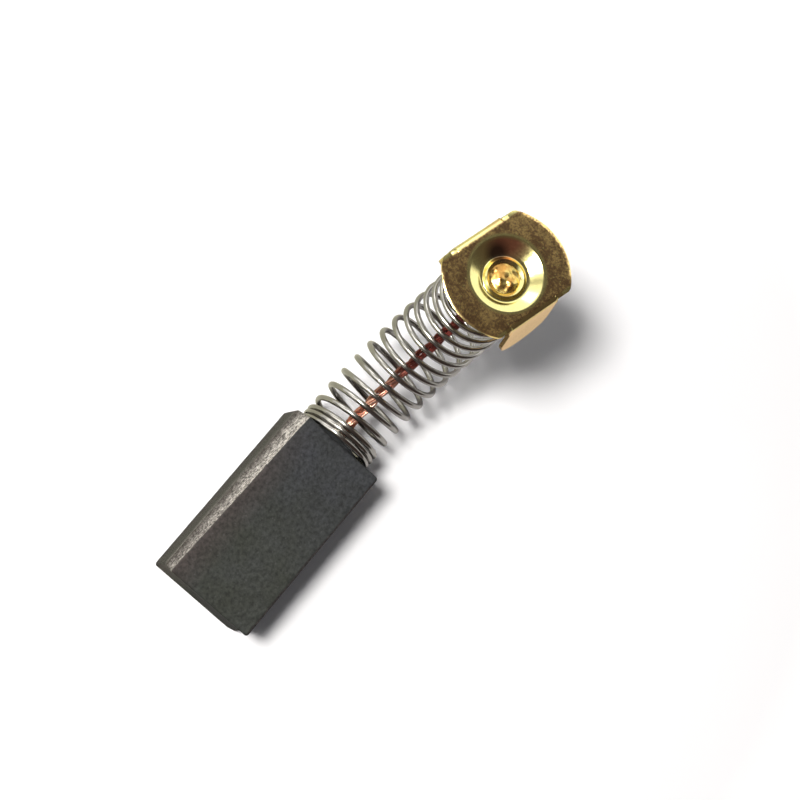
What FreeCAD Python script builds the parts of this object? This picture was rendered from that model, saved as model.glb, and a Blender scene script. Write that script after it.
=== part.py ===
import FreeCAD, Part
import math
import os

# Carbon brush with a tail spring: a carbon block, a bent compression spring, the copper shunt
# that runs inside the spring, and a pressed brass cap with two ears that straddle the last coils.
# Millimetres. The origin is the centre of the block's spring end. +X runs from the block towards
# the spring, +Z is square to the wide face that looks up when the brush lies down.

# Carbon block
block_length = 19.2
block_width = 9.95
block_thickness = 6.3
contact_radius = 13.7  # the commutator's radius, ground into the contact end across the thickness
chamfer_spring_end = 1.25  # leg of the long tapered chamfer where it meets the spring
chamfer_contact_end = 0.7
edge_break = 0.15
shunt_hole_diameter = 2.8
shunt_hole_depth = 7.0
hole_cone_depth = 0.6  # left by the drill's point

# Spring
wire_diameter = 0.55
spring_outer_diameter = 8.05
coils_at_block = 3.0  # closed coils, which stay straight
coils_open = 14.5
coils_at_cap = 3.5
pitch_ramp_turns = 0.5  # over which a closed coil opens to the full pitch
coil_gap = 0.02  # between closed coils
first_coil_angle = 80.0  # where the wire's end lies, in degrees round the axis from the top
seat_clearance = 0.01

# Bend of the spring's centre line: two tangent arcs, each in a plane of its own
near_arc_length = 12.4
near_arc_angle = 44.7
near_arc_lean = 1.1  # how far the plane of the arc leans from upright, towards -Y
far_arc_length = 12.1
far_arc_angle = 42.6
far_arc_lean = -12.4  # the same, in the frame that the near arc carries along

# Shunt, the copper rope
shunt_diameter = 1.2
shunt_depth = 6.0  # how far it goes down the hole
shunt_straight_start = 2.2  # straight run past the block's face
# Each station is a length along the spring and an offset to the inner side of its bend
shunt_stations = ((6.8, 1.2), (12.0, 1.9), (17.0, 1.75), (21.6, 0.8))
shunt_straight_end = 2.6  # straight run up to the cap's eyelet
arc_share = 0.45  # of the shorter run, taken by each arc

# Brass cap, pressed from one sheet
sheet_thickness = 0.4
cap_diameter = 11.8
ear_side_clearance = 0.08  # between each ear and the coils
ear_width = 5.2
ear_length = 7.4
ear_bend_radius = 0.2  # inside the bend
ear_splay = 6.7  # degrees that the ears stand open
wing_inset = 0.15  # the flats beside each ear, in from the ears' outer faces
cap_turn = -17.9  # degrees round the cap's axis, from ears square to the block's sides
dish_rim_radius = 3.3  # where the slope of the dish would meet the flange
dish_floor_radius = 2.35
dish_depth = 1.15
dish_rim_blend = 0.35  # inside radii of the pressed bends
dish_floor_blend = 0.5
eyelet_radius = 1.75
eyelet_height = 0.6
eyelet_blend = 0.2
weld_crown = 0.05  # how far the weld's middle stands out of the eyelet
weld_edge_drop = 0.35  # how far its edge stays below the lip

X_AXIS = FreeCAD.Vector(1, 0, 0)
Y_AXIS = FreeCAD.Vector(0, 1, 0)
Z_AXIS = FreeCAD.Vector(0, 0, 1)
ORIGIN = FreeCAD.Vector(0, 0, 0)

SAME_PLACE = 0.01  # how near two lengths are to count as equal
OVERRUN = 0.5  # how far a cutting tool runs past what it cuts
LAP = 0.2  # how far the ear's strip reaches into the flange, to fuse with it
POINTS_PER_TURN = 8  # of the spring's centre line

coil_radius = (spring_outer_diameter - wire_diameter) / 2
half_width = block_width / 2
half_thickness = block_thickness / 2
closed_pitch = wire_diameter + coil_gap
end_stand_off = seat_clearance + wire_diameter / 2
block_end_stack = end_stand_off + coils_at_block * closed_pitch
cap_end_stack = end_stand_off + coils_at_cap * closed_pitch
spring_length = block_end_stack + near_arc_length + far_arc_length + cap_end_stack
total_coils = coils_at_block + coils_open + coils_at_cap
bent_length = near_arc_length + far_arc_length
open_pitch = (bent_length - closed_pitch * pitch_ramp_turns) / (coils_open - pitch_ramp_turns)
dish_floor = sheet_thickness - dish_depth  # heights over the coil's seat, along the cap's axis
eyelet_lip = dish_floor + eyelet_height
eyelet_foot = dish_floor - sheet_thickness
eyelet_bore = eyelet_radius - sheet_thickness
ear_face = spring_outer_diameter / 2 + ear_side_clearance + sheet_thickness
bend_start = ear_face - ear_bend_radius - sheet_thickness  # where the flange turns into the ear


def vec(x, y, z):
    return FreeCAD.Vector(x, y, z)


def face_of(edges):
    return Part.Face(Part.Wire(edges))


def arc_carry(length, arc_length, arc_angle, lean):
    """Placement that carries the frame along a tangent arc. The frame has +X ahead and +Z to its
    top side, and lean turns the plane of the bend about +X."""
    radius = arc_length / math.radians(arc_angle)
    side = math.radians(lean)
    inward = vec(0, -math.sin(side), math.cos(side))
    swing = FreeCAD.Rotation(X_AXIS.cross(inward), math.degrees(length / radius))
    return FreeCAD.Placement(ORIGIN, swing, inward * radius)


def straight_carry(length):
    return FreeCAD.Placement(X_AXIS * length, FreeCAD.Rotation())


def spring_frame(length):
    """The frame on the spring's centre line at a length from the block: +X ahead, +Z inner side."""
    start = min(length, block_end_stack)
    near = min(max(length - block_end_stack, 0), near_arc_length)
    far = min(max(length - block_end_stack - near_arc_length, 0), far_arc_length)
    rest = length - start - near - far
    frame = straight_carry(start)
    frame = frame.multiply(arc_carry(near, near_arc_length, near_arc_angle, near_arc_lean))
    frame = frame.multiply(arc_carry(far, far_arc_length, far_arc_angle, far_arc_lean))
    return frame.multiply(straight_carry(rest))


def beside_axis(length, offset):
    return spring_frame(length).multVec(vec(0, 0, offset))


def long_chamfer(side):
    """Wedge that takes off a long edge of the block, wider at the spring end. side is 1 for the
    upper left edge and -1 for the lower right one."""
    sections = []
    ends = ((OVERRUN, chamfer_spring_end), (-block_length - OVERRUN, chamfer_contact_end))
    for x, leg in ends:
        y, z = side * half_width, side * half_thickness
        out = side * OVERRUN
        corners = [
            vec(x, y + out, z + out),
            vec(x, y - side * leg - out, z + out),
            vec(x, y + out, z - side * leg - out),
        ]
        sections.append(Part.makePolygon(corners + [corners[0]]))
    return Part.makeLoft(sections, True, True)


def carbon_block():
    corner = vec(-block_length, -half_width, -half_thickness)
    body = Part.makeBox(block_length, block_width, block_thickness, corner)
    body = body.cut(long_chamfer(1)).cut(long_chamfer(-1))
    body = body.makeChamfer(edge_break, square_edges(body))
    body = body.cut(commutator())
    return body.cut(shunt_hole())


def square_edges(body):
    """The two long edges that the chamfers leave square."""
    picked = []
    for edge in body.Edges:
        ends = [v.Point for v in edge.Vertexes]
        along = abs(ends[0].x - ends[1].x) > block_length - SAME_PLACE
        if along and all(at_corner(p) for p in ends):
            picked.append(edge)
    return picked


def at_corner(point):
    """Whether a point lies on a corner of the block's plain section."""
    off = abs(abs(point.y) - half_width) + abs(abs(point.z) - half_thickness)
    return off < SAME_PLACE


def commutator():
    """The cylinder that the contact end is ground to."""
    depth = math.sqrt(contact_radius**2 - half_thickness**2)
    base = vec(-block_length - depth, -block_width, 0)
    return Part.makeCylinder(contact_radius, 2 * block_width, base, Y_AXIS)


def shunt_hole():
    bore = Part.makeCylinder(shunt_hole_diameter / 2, shunt_hole_depth, ORIGIN, X_AXIS * -1)
    tip = Part.makeCone(
        shunt_hole_diameter / 2, 0, hole_cone_depth, vec(-shunt_hole_depth, 0, 0), X_AXIS * -1
    )
    return bore.fuse(tip).removeSplitter()


def tamping_plug():
    """The packed powder that holds the shunt in its hole."""
    rope = Part.makeCylinder(shunt_diameter / 2, shunt_depth, ORIGIN, X_AXIS * -1)
    return shunt_hole().cut(rope)


def climb(turns):
    """How far the coil has climbed along its axis after a number of turns."""
    ramp = pitch_ramp_turns
    opening = max(0.0, min(turns - coils_at_block, ramp))
    full = max(0.0, min(turns - coils_at_block - ramp, coils_open - 2 * ramp))
    closing = max(0.0, min(turns - coils_at_block - coils_open + ramp, ramp))
    extra = opening**2 / (2 * ramp) + full + closing - closing**2 / (2 * ramp)
    return closed_pitch * turns + (open_pitch - closed_pitch) * extra


def coil_point(turns):
    """A point on the wire's centre line, a right-hand helix about the bent axis."""
    angle = math.radians(first_coil_angle + 360 * turns)
    round_axis = vec(0, -math.sin(angle), math.cos(angle)) * coil_radius
    return spring_frame(end_stand_off + climb(turns)).multVec(round_axis)


def spring():
    count = round(total_coils * POINTS_PER_TURN)
    line = Part.BSplineCurve()
    line.interpolate([coil_point(total_coils * i / count) for i in range(count + 1)])
    start = line.value(line.FirstParameter)
    ahead = line.tangent(line.FirstParameter)[0]
    section = Part.Wire(Part.makeCircle(wire_diameter / 2, start, ahead))
    return Part.Wire(line.toShape()).makePipeShell([section], True, True)


def shunt_corners():
    """The corners of the shunt's route: out of the hole, past the block's face, along the inner
    side of the bend, and straight up to the foot of the eyelet."""
    last = spring_frame(spring_length)
    corners = [vec(-shunt_depth, 0, 0), vec(shunt_straight_start, 0, 0)]
    for length, offset in shunt_stations:
        corners.append(beside_axis(length, offset))
    corners.append(last.multVec(vec(eyelet_foot - shunt_straight_end, 0, 0)))
    corners.append(last.multVec(vec(eyelet_foot, 0, 0)))
    return corners


def rounded_edges(corners, radii):
    """Straight runs between corners, joined by a tangent arc at each inner corner."""
    edges = []
    here = corners[0]
    for before, corner, after, radius in zip(corners, corners[1:], corners[2:], radii):
        back = (before - corner).normalize()
        ahead = (after - corner).normalize()
        half_turn = (math.pi - back.getAngle(ahead)) / 2
        inward = (back + ahead).normalize()
        enter = corner + back * radius * math.tan(half_turn)
        middle = corner + inward * radius * (1 / math.cos(half_turn) - 1)
        leave = corner + ahead * radius * math.tan(half_turn)
        edges.append(Part.LineSegment(here, enter).toShape())
        edges.append(Part.Arc(enter, middle, leave).toShape())
        here = leave
    edges.append(Part.LineSegment(here, corners[-1]).toShape())
    return edges


def widest_radii(corners):
    """For each inner corner, the largest arc that its two runs leave room for."""
    radii = []
    for before, corner, after in zip(corners, corners[1:], corners[2:]):
        back = before - corner
        ahead = after - corner
        half_turn = (math.pi - back.getAngle(ahead)) / 2
        radii.append(arc_share * min(back.Length, ahead.Length) / math.tan(half_turn))
    print("shunt arc radii", [round(r, 1) for r in radii])
    return radii


def shunt():
    corners = shunt_corners()
    route = Part.Wire(rounded_edges(corners, widest_radii(corners)))
    section = Part.Wire(Part.makeCircle(shunt_diameter / 2, corners[0], X_AXIS))
    rope = route.makePipeShell([section], True, True)
    print("shunt length", round(route.Length, 2))
    return rope


def sheet_section(corners, bends, across):
    """Section of a bent sheet. corners run along its upper side, bends are the inside radii, and
    across is square to the section's plane, so that the sheet lies to the right of the run."""
    runs = [(b - a).normalize() for a, b in zip(corners, corners[1:])]
    sides = [across.cross(run) * sheet_thickness for run in runs]
    lower = [corners[0] + sides[0]]
    upper_radii = []
    lower_radii = []
    for corner, before, after, run, radius in zip(corners[1:], sides, sides[1:], runs, bends):
        scale = sheet_thickness**2 / (sheet_thickness**2 + before.dot(after))
        lower.append(corner + (before + after) * scale)
        outside = radius + sheet_thickness
        folds_under = after.dot(run) < 0
        upper_radii.append(outside if folds_under else radius)
        lower_radii.append(radius if folds_under else outside)
    lower.append(corners[-1] + sides[-1])
    edges = rounded_edges(corners, upper_radii)
    edges.append(Part.LineSegment(corners[-1], lower[-1]).toShape())
    edges += rounded_edges(lower, lower_radii)
    edges.append(Part.LineSegment(lower[0], corners[0]).toShape())
    return Part.Face(Part.Wire(Part.sortEdges(edges)[0]))


def cap_disc():
    """The round of the cap: eyelet, dish and flange, spun from one section."""
    corners = [
        vec(eyelet_radius, 0, eyelet_lip),
        vec(eyelet_radius, 0, dish_floor),
        vec(dish_floor_radius, 0, dish_floor),
        vec(dish_rim_radius, 0, sheet_thickness),
        vec(cap_diameter / 2, 0, sheet_thickness),
    ]
    bends = (eyelet_blend, dish_floor_blend, dish_rim_blend)
    return sheet_section(corners, bends, Y_AXIS).revolve(ORIGIN, Z_AXIS, 360)


def ear():
    """The ear on the +Y side, bent from the flange down past the coils."""
    splay = math.radians(ear_splay)
    root = vec(0, ear_face, sheet_thickness)
    inner = vec(0, bend_start - LAP, sheet_thickness)
    tip = root + vec(0, math.sin(splay), -math.cos(splay)) * ear_length
    strip = sheet_section([inner, root, tip], [ear_bend_radius], X_AXIS * -1)
    strip.translate(vec(-ear_width / 2, 0, 0))
    strip = strip.extrude(vec(ear_width, 0, 0))
    return strip.common(ear_outline())


def ear_outline():
    """The ear as cut from the sheet, straight sides and a full round end, seen along +Y."""
    half = ear_width / 2
    tip = sheet_thickness - ear_length * math.cos(math.radians(ear_splay))
    top = 2 * sheet_thickness
    edges = [
        Part.LineSegment(vec(-half, 0, top), vec(half, 0, top)).toShape(),
        Part.LineSegment(vec(half, 0, top), vec(half, 0, tip + half)).toShape(),
        Part.Arc(vec(half, 0, tip + half), vec(0, 0, tip), vec(-half, 0, tip + half)).toShape(),
        Part.LineSegment(vec(-half, 0, tip + half), vec(-half, 0, top)).toShape(),
    ]
    return face_of(edges).extrude(Y_AXIS * cap_diameter)


def cap_placement():
    """Where the cap sits: its axis along the spring's end, turned about that axis."""
    seat = spring_frame(spring_length)
    stand = FreeCAD.Placement(ORIGIN, FreeCAD.Rotation(Y_AXIS, 90))
    turn = FreeCAD.Placement(ORIGIN, FreeCAD.Rotation(X_AXIS, cap_turn))
    return seat.multiply(turn).multiply(stand)


def block_across(width, depth):
    """A tall box centred on the cap's axis, to trim the disc with."""
    box = Part.makeBox(width, depth, 2 * cap_diameter)
    box.translate(vec(-width / 2, -depth / 2, -cap_diameter))
    return box


def terminal_cap():
    wings = block_across(2 * cap_diameter, 2 * (ear_face - wing_inset))
    between_bends = block_across(ear_width, 2 * bend_start)
    ears_off = wings.cut(block_across(ear_width, 2 * cap_diameter)).fuse(between_bends)
    first = ear()
    second = first.rotated(ORIGIN, Z_AXIS, 180)
    cap = cap_disc().common(ears_off).fuse(first).fuse(second).removeSplitter()
    cap.Placement = cap_placement()
    return cap


def shunt_weld():
    """The lump of weld that fills the eyelet and ends the shunt, domed on top."""
    crown = eyelet_lip + weld_crown
    rise = weld_crown + weld_edge_drop
    dome_radius = (eyelet_bore**2 + rise**2) / (2 * rise)
    dome = Part.makeSphere(dome_radius, vec(0, 0, crown - dome_radius))
    lump = Part.makeCylinder(eyelet_bore, crown - eyelet_foot, vec(0, 0, eyelet_foot)).common(dome)
    lump.Placement = cap_placement()
    return lump


PIECES = {
    "carbon_block": carbon_block,
    "tamping_plug": tamping_plug,
    "spring": spring,
    "shunt": shunt,
    "terminal_cap": terminal_cap,
    "shunt_weld": shunt_weld,
}


def main():
    os.makedirs("parts", exist_ok=True)
    for name, build in PIECES.items():
        shape = build()
        if shape.ShapeType != "Solid" and len(shape.Solids) == 1:
            shape = shape.Solids[0]
        box = shape.BoundBox
        print(name, shape.isValid(), len(shape.Faces), "faces", round(shape.Volume, 3), "mm3")
        print("  ", [round(v, 2) for v in (box.XMin, box.YMin, box.ZMin, box.XMax, box.YMax, box.ZMax)])
        shape.exportStep(f"parts/{name}.step")


main()
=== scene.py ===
import logging
import math
from dataclasses import dataclass, field
from enum import Enum
from functools import cache
from typing import Iterable, Iterator, Optional, Sequence

import bmesh
import bpy
from mathutils import Matrix, Vector, noise


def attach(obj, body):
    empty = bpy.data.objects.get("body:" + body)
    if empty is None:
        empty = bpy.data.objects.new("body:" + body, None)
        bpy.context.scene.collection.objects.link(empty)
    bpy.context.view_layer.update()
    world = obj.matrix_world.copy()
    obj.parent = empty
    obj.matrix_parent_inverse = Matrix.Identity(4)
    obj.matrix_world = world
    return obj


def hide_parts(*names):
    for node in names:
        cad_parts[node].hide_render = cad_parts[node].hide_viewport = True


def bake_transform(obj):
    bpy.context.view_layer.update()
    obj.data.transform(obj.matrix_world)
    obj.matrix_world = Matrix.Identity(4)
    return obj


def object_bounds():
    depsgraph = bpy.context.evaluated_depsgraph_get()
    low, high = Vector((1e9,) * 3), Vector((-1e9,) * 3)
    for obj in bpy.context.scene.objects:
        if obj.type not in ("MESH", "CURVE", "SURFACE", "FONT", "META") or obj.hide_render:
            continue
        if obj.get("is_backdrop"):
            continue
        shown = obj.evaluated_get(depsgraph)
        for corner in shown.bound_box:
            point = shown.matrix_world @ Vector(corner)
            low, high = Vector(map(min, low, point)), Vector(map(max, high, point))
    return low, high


# Carbon brush: block, bent tail spring, copper shunt and pressed brass cap, dressed round the
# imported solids. Sizes in the classes are millimetres, as on the maker's drawing, and each mesh is
# scaled to metres when it becomes an object. +X points out of the block's spring end.

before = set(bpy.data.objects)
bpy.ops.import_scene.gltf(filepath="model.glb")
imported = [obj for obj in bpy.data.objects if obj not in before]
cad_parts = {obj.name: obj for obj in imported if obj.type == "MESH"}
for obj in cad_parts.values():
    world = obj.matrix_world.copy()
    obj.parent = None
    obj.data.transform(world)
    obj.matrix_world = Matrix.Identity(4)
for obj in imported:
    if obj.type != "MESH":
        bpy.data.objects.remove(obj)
CAD_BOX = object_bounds()

LOG = logging.getLogger("carbon_brush")
MM = 0.001
HAIR = 1e-6  # slack in comparing places
WHITE = (1.0, 1.0, 1.0)

Colour = tuple[float, float, float]
Span = tuple[float, float]
Scales = tuple[float, float, float]  # of clouds, fine mottling and specks
Node = bpy.types.Node
Socket = bpy.types.NodeSocket
Piece = bpy.types.Object


class Axis(Enum):
    """Direction along which a grain or a scratch runs, in the coordinates it is given."""

    X = 0
    Y = 1


class Cut(Enum):
    """How a face of the carbon block was made, which is also its material's index."""

    PRESSED = 0
    SIDE = 1
    CHAMFER = 2


# ---- Meshes


@dataclass
class Shell:
    """A mesh under construction, in millimetres."""

    name: str
    points: list[Vector] = field(default_factory=list)
    faces: list[tuple[int, ...]] = field(default_factory=list)
    slots: list[int] = field(default_factory=list)  # material index of each face
    flow: list[Vector] = field(default_factory=list)  # each corner's place along and round a wire

    def add_points(self, points: Iterable[Vector]) -> list[int]:
        """Add corners.

        Args:
            points: Positions in millimetres.

        Returns:
            Their indices.
        """
        first = len(self.points)
        self.points.extend(Vector(p) for p in points)
        return list(range(first, len(self.points)))

    def add_face(self, corners: Sequence[int], slot: int = 0) -> None:
        """Add a face, dropping corners that repeat.

        Args:
            corners: Corner indices in order.
            slot: Material index.
        """
        kept = [c for c, last in zip(corners, [corners[-1], *corners[:-1]]) if c != last]
        if len(kept) > 2:
            self.faces.append(tuple(kept))
            self.slots.append(slot)

    def bridge(self, first: Sequence[int], second: Sequence[int], closed: bool = True,
               slots: Optional[Sequence[int]] = None) -> None:
        """Join two rows of as many corners by quads.

        Args:
            first: The row nearer the start.
            second: The next row.
            closed: Whether the rows are rings.
            slots: Material index of each quad.
        """
        count = len(first)
        for i in range(count if closed else count - 1):
            j = (i + 1) % count
            corners = (first[i], first[j], second[j], second[i])
            self.add_face(corners, slots[i] if slots else 0)

    def grow(self, row: Sequence[int], points: Iterable[Vector], closed: bool = True) -> list[int]:
        """Add a row of corners and join it to the row before.

        Args:
            row: The row before, or empty where there is none.
            points: Positions of the new row.
            closed: Whether the rows are rings.

        Returns:
            Corner indices of the new row.
        """
        added = self.add_points(points)
        if row:
            self.bridge(added, row, closed)
        return added

    def build(self, finishes: Sequence["Finish"], matrix: Optional[Matrix] = None) -> Piece:
        """Make the Blender object.

        Args:
            finishes: One for each material index.
            matrix: Placement in millimetres, or None to leave the points where they are.

        Returns:
            The linked object, smooth, with its origin at the frame's origin.
        """
        place = matrix or Matrix.Identity(4)
        mesh = bpy.data.meshes.new(self.name)
        mesh.from_pydata([(place @ p) * MM for p in self.points], [], self.faces)
        mesh.polygons.foreach_set("use_smooth", [True] * len(self.faces))
        mesh.polygons.foreach_set("material_index", self.slots)
        if self.flow:
            layer = mesh.attributes.new("flow", "FLOAT_VECTOR", "POINT")
            layer.data.foreach_set("vector", [c for p in self.flow for c in p])
        mesh.update()
        for finish in finishes:
            mesh.materials.append(finish.make())
        piece = bpy.data.objects.new(self.name, mesh)
        bpy.context.scene.collection.objects.link(piece)
        return piece


def apply_modifiers(piece: Piece) -> None:
    """Replace the piece's mesh by what its modifiers make of it.

    Args:
        piece: Object with modifiers.
    """
    graph = bpy.context.evaluated_depsgraph_get()
    shaped = bpy.data.meshes.new_from_object(piece.evaluated_get(graph))
    piece.modifiers.clear()
    piece.data = shaped


def round_corners(corners: Sequence[Span], radii: Sequence[float], steps: int) -> list[Span]:
    """Run a flat line through corners with a tangent arc at each inner one.

    Args:
        corners: Corner positions.
        radii: Radius at each inner corner.
        steps: Segments in each arc.

    Returns:
        Points along the line.
    """
    line = [corners[0]]
    for before, corner, after, radius in zip(corners, corners[1:], corners[2:], radii):
        here = Vector(corner)
        back = (Vector(before) - here).normalized()
        ahead = (Vector(after) - here).normalized()
        half = back.angle(ahead) / 2
        centre = here + (back + ahead).normalized() * radius / math.sin(half)
        enter = here + back * radius / math.tan(half)
        sweep = (math.pi - 2 * half) * (1 if back.cross(ahead) < 0 else -1)
        for k in range(steps + 1):
            spoke = enter - centre
            spoke.rotate(Matrix.Rotation(sweep * k / steps, 2))
            line.append(tuple(centre + spoke))
    line.append(corners[-1])
    return line


def carry_along(line: Sequence[Vector],
                start_side: Vector) -> Iterator[tuple[Vector, Vector, Vector, float]]:
    """Carry two directions along a line, square to it and without twist.

    Args:
        line: Points of the line.
        start_side: A direction square to its start.

    Yields:
        Each point with its two directions and the length travelled.
    """
    side, travelled = start_side, 0.0
    for k, point in enumerate(line):
        ahead = (line[min(k + 1, len(line) - 1)] - line[max(k - 1, 0)]).normalized()
        side = (side - ahead * side.dot(ahead)).normalized()
        travelled += (point - line[k - 1]).length if k else 0.0
        yield point, side, ahead.cross(side), travelled


def sweep_tube(shell: Shell, line: Sequence[Vector], radius: float, sides: int,
               start_side: Vector) -> None:
    """Sweep a round wire along a line, with its two ends closed.

    Args:
        shell: Mesh that takes the tube.
        line: Points of the wire's centre line.
        radius: Of the wire.
        sides: Facets round the wire.
        start_side: A direction square to the line's start.
    """
    turns = [2 * math.pi * i / sides for i in range(sides)]
    circle = [(math.cos(a), math.sin(a)) for a in turns]
    last: list[int] = []
    for point, side, other, travelled in carry_along(line, start_side):
        ring = shell.add_points(point + (side * c + other * s) * radius for c, s in circle)
        shell.flow.extend(Vector((travelled, radius * c, radius * s)) for c, s in circle)
        if last:
            shell.bridge(last, ring)
        else:
            shell.add_face(ring[::-1])
        last = ring
    shell.add_face(last)


# ---- Shader groups


@dataclass
class Graph:
    """Nodes and links of one shader tree."""

    tree: bpy.types.NodeTree

    def add(self, kind: str, inputs: Optional[dict] = None, **settings: object) -> Node:
        """Add a node.

        Args:
            kind: Blender's name of the node type.
            inputs: Input socket to a value or to the socket that feeds it.
            **settings: Properties of the node.

        Returns:
            The node.
        """
        node = self.tree.nodes.new(kind)
        for name, value in settings.items():
            setattr(node, name, value)
        self.feed(node, inputs or {})
        return node

    def feed(self, node: Node, inputs: dict) -> None:
        """Link a node's inputs to other sockets, or set their values.

        Args:
            node: The node.
            inputs: Input socket to an output socket, number or tuple.
        """
        for name, value in inputs.items():
            socket = node.inputs[name]
            if isinstance(value, Socket):
                self.tree.links.new(value, socket)
            elif isinstance(value, tuple) and socket.type == "RGBA":
                socket.default_value = (*value, 1.0)
            else:
                socket.default_value = value

    def maths(self, operation: str, first: object, second: object = 0.0,
              clamp: bool = False) -> Socket:
        """Work out a sum or another operation on numbers.

        Args:
            operation: Blender's name of the operation.
            first: Number or socket.
            second: Number or socket.
            clamp: Whether to keep the result between 0 and 1.

        Returns:
            The result's socket.
        """
        return self.add("ShaderNodeMath", {0: first, 1: second}, operation=operation,
                        use_clamp=clamp).outputs[0]

    def times(self, first: object, second: object, clamp: bool = False) -> Socket:
        """Multiply two numbers or sockets."""
        return self.maths("MULTIPLY", first, second, clamp)

    def plus(self, first: object, second: object, clamp: bool = False) -> Socket:
        """Add two numbers or sockets."""
        return self.maths("ADD", first, second, clamp)

    def vectors(self, operation: str, inputs: dict, output: str = "Vector") -> Socket:
        """Work out an operation on vectors, by Blender's names."""
        return self.add("ShaderNodeVectorMath", inputs, operation=operation).outputs[output]

    def split(self, vector: Socket) -> tuple[Socket, ...]:
        """Part a vector into its three numbers."""
        return tuple(self.add("ShaderNodeSeparateXYZ", {0: vector}).outputs)

    def noise(self, vector: Socket, scale: object, detail: float, roughness: float = 0.5,
              distortion: float = 0.0) -> Socket:
        """Make clouds of noise.

        Args:
            vector: Where on the surface.
            scale: Clouds to the unit.
            detail: Octaves.
            roughness: Weight of the finer octaves.
            distortion: Of the clouds.

        Returns:
            Number about 0.5.
        """
        return self.add("ShaderNodeTexNoise", {
            "Vector": vector, "Scale": scale, "Detail": detail, "Roughness": roughness,
            "Distortion": distortion}).outputs["Fac"]

    def mix(self, factor: object, first: object, second: object, blend: str = "MIX") -> Socket:
        """Mix two colours.

        Args:
            factor: Number or socket.
            first: Colour at 0.
            second: Colour at 1.
            blend: Blender's name of the blend.

        Returns:
            The colour's socket.
        """
        return self.add("ShaderNodeMix", {0: factor, 6: first, 7: second}, data_type="RGBA",
                        blend_type=blend).outputs[2]

    def shaded(self, colour: object, shade: Socket) -> Socket:
        """Make a colour lighter or darker.

        Args:
            colour: The colour.
            shade: What it is multiplied by.

        Returns:
            The colour's socket.
        """
        grey = self.add("ShaderNodeCombineColor", {0: shade, 1: shade, 2: shade})
        return self.mix(1.0, colour, grey.outputs[0], "MULTIPLY")

    def spread(self, value: object, low: float, high: float, to_low: float = 0.0,
               to_high: float = 1.0) -> Socket:
        """Stretch a range of values over another, clamped.

        Args:
            value: Number or socket.
            low: Value that becomes to_low.
            high: Value that becomes to_high.
            to_low: Result at low.
            to_high: Result at high.

        Returns:
            The result's socket.
        """
        return self.add("ShaderNodeMapRange", {
            "Value": value, "From Min": low, "From Max": high, "To Min": to_low,
            "To Max": to_high}).outputs["Result"]

    def group(self, tree: bpy.types.NodeTree, inputs: dict) -> list[Socket]:
        """Place a shared group.

        Args:
            tree: The group.
            inputs: Its input values.

        Returns:
            Its outputs.
        """
        node = self.add("ShaderNodeGroup", node_tree=tree)
        self.feed(node, inputs)
        return list(node.outputs)


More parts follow.
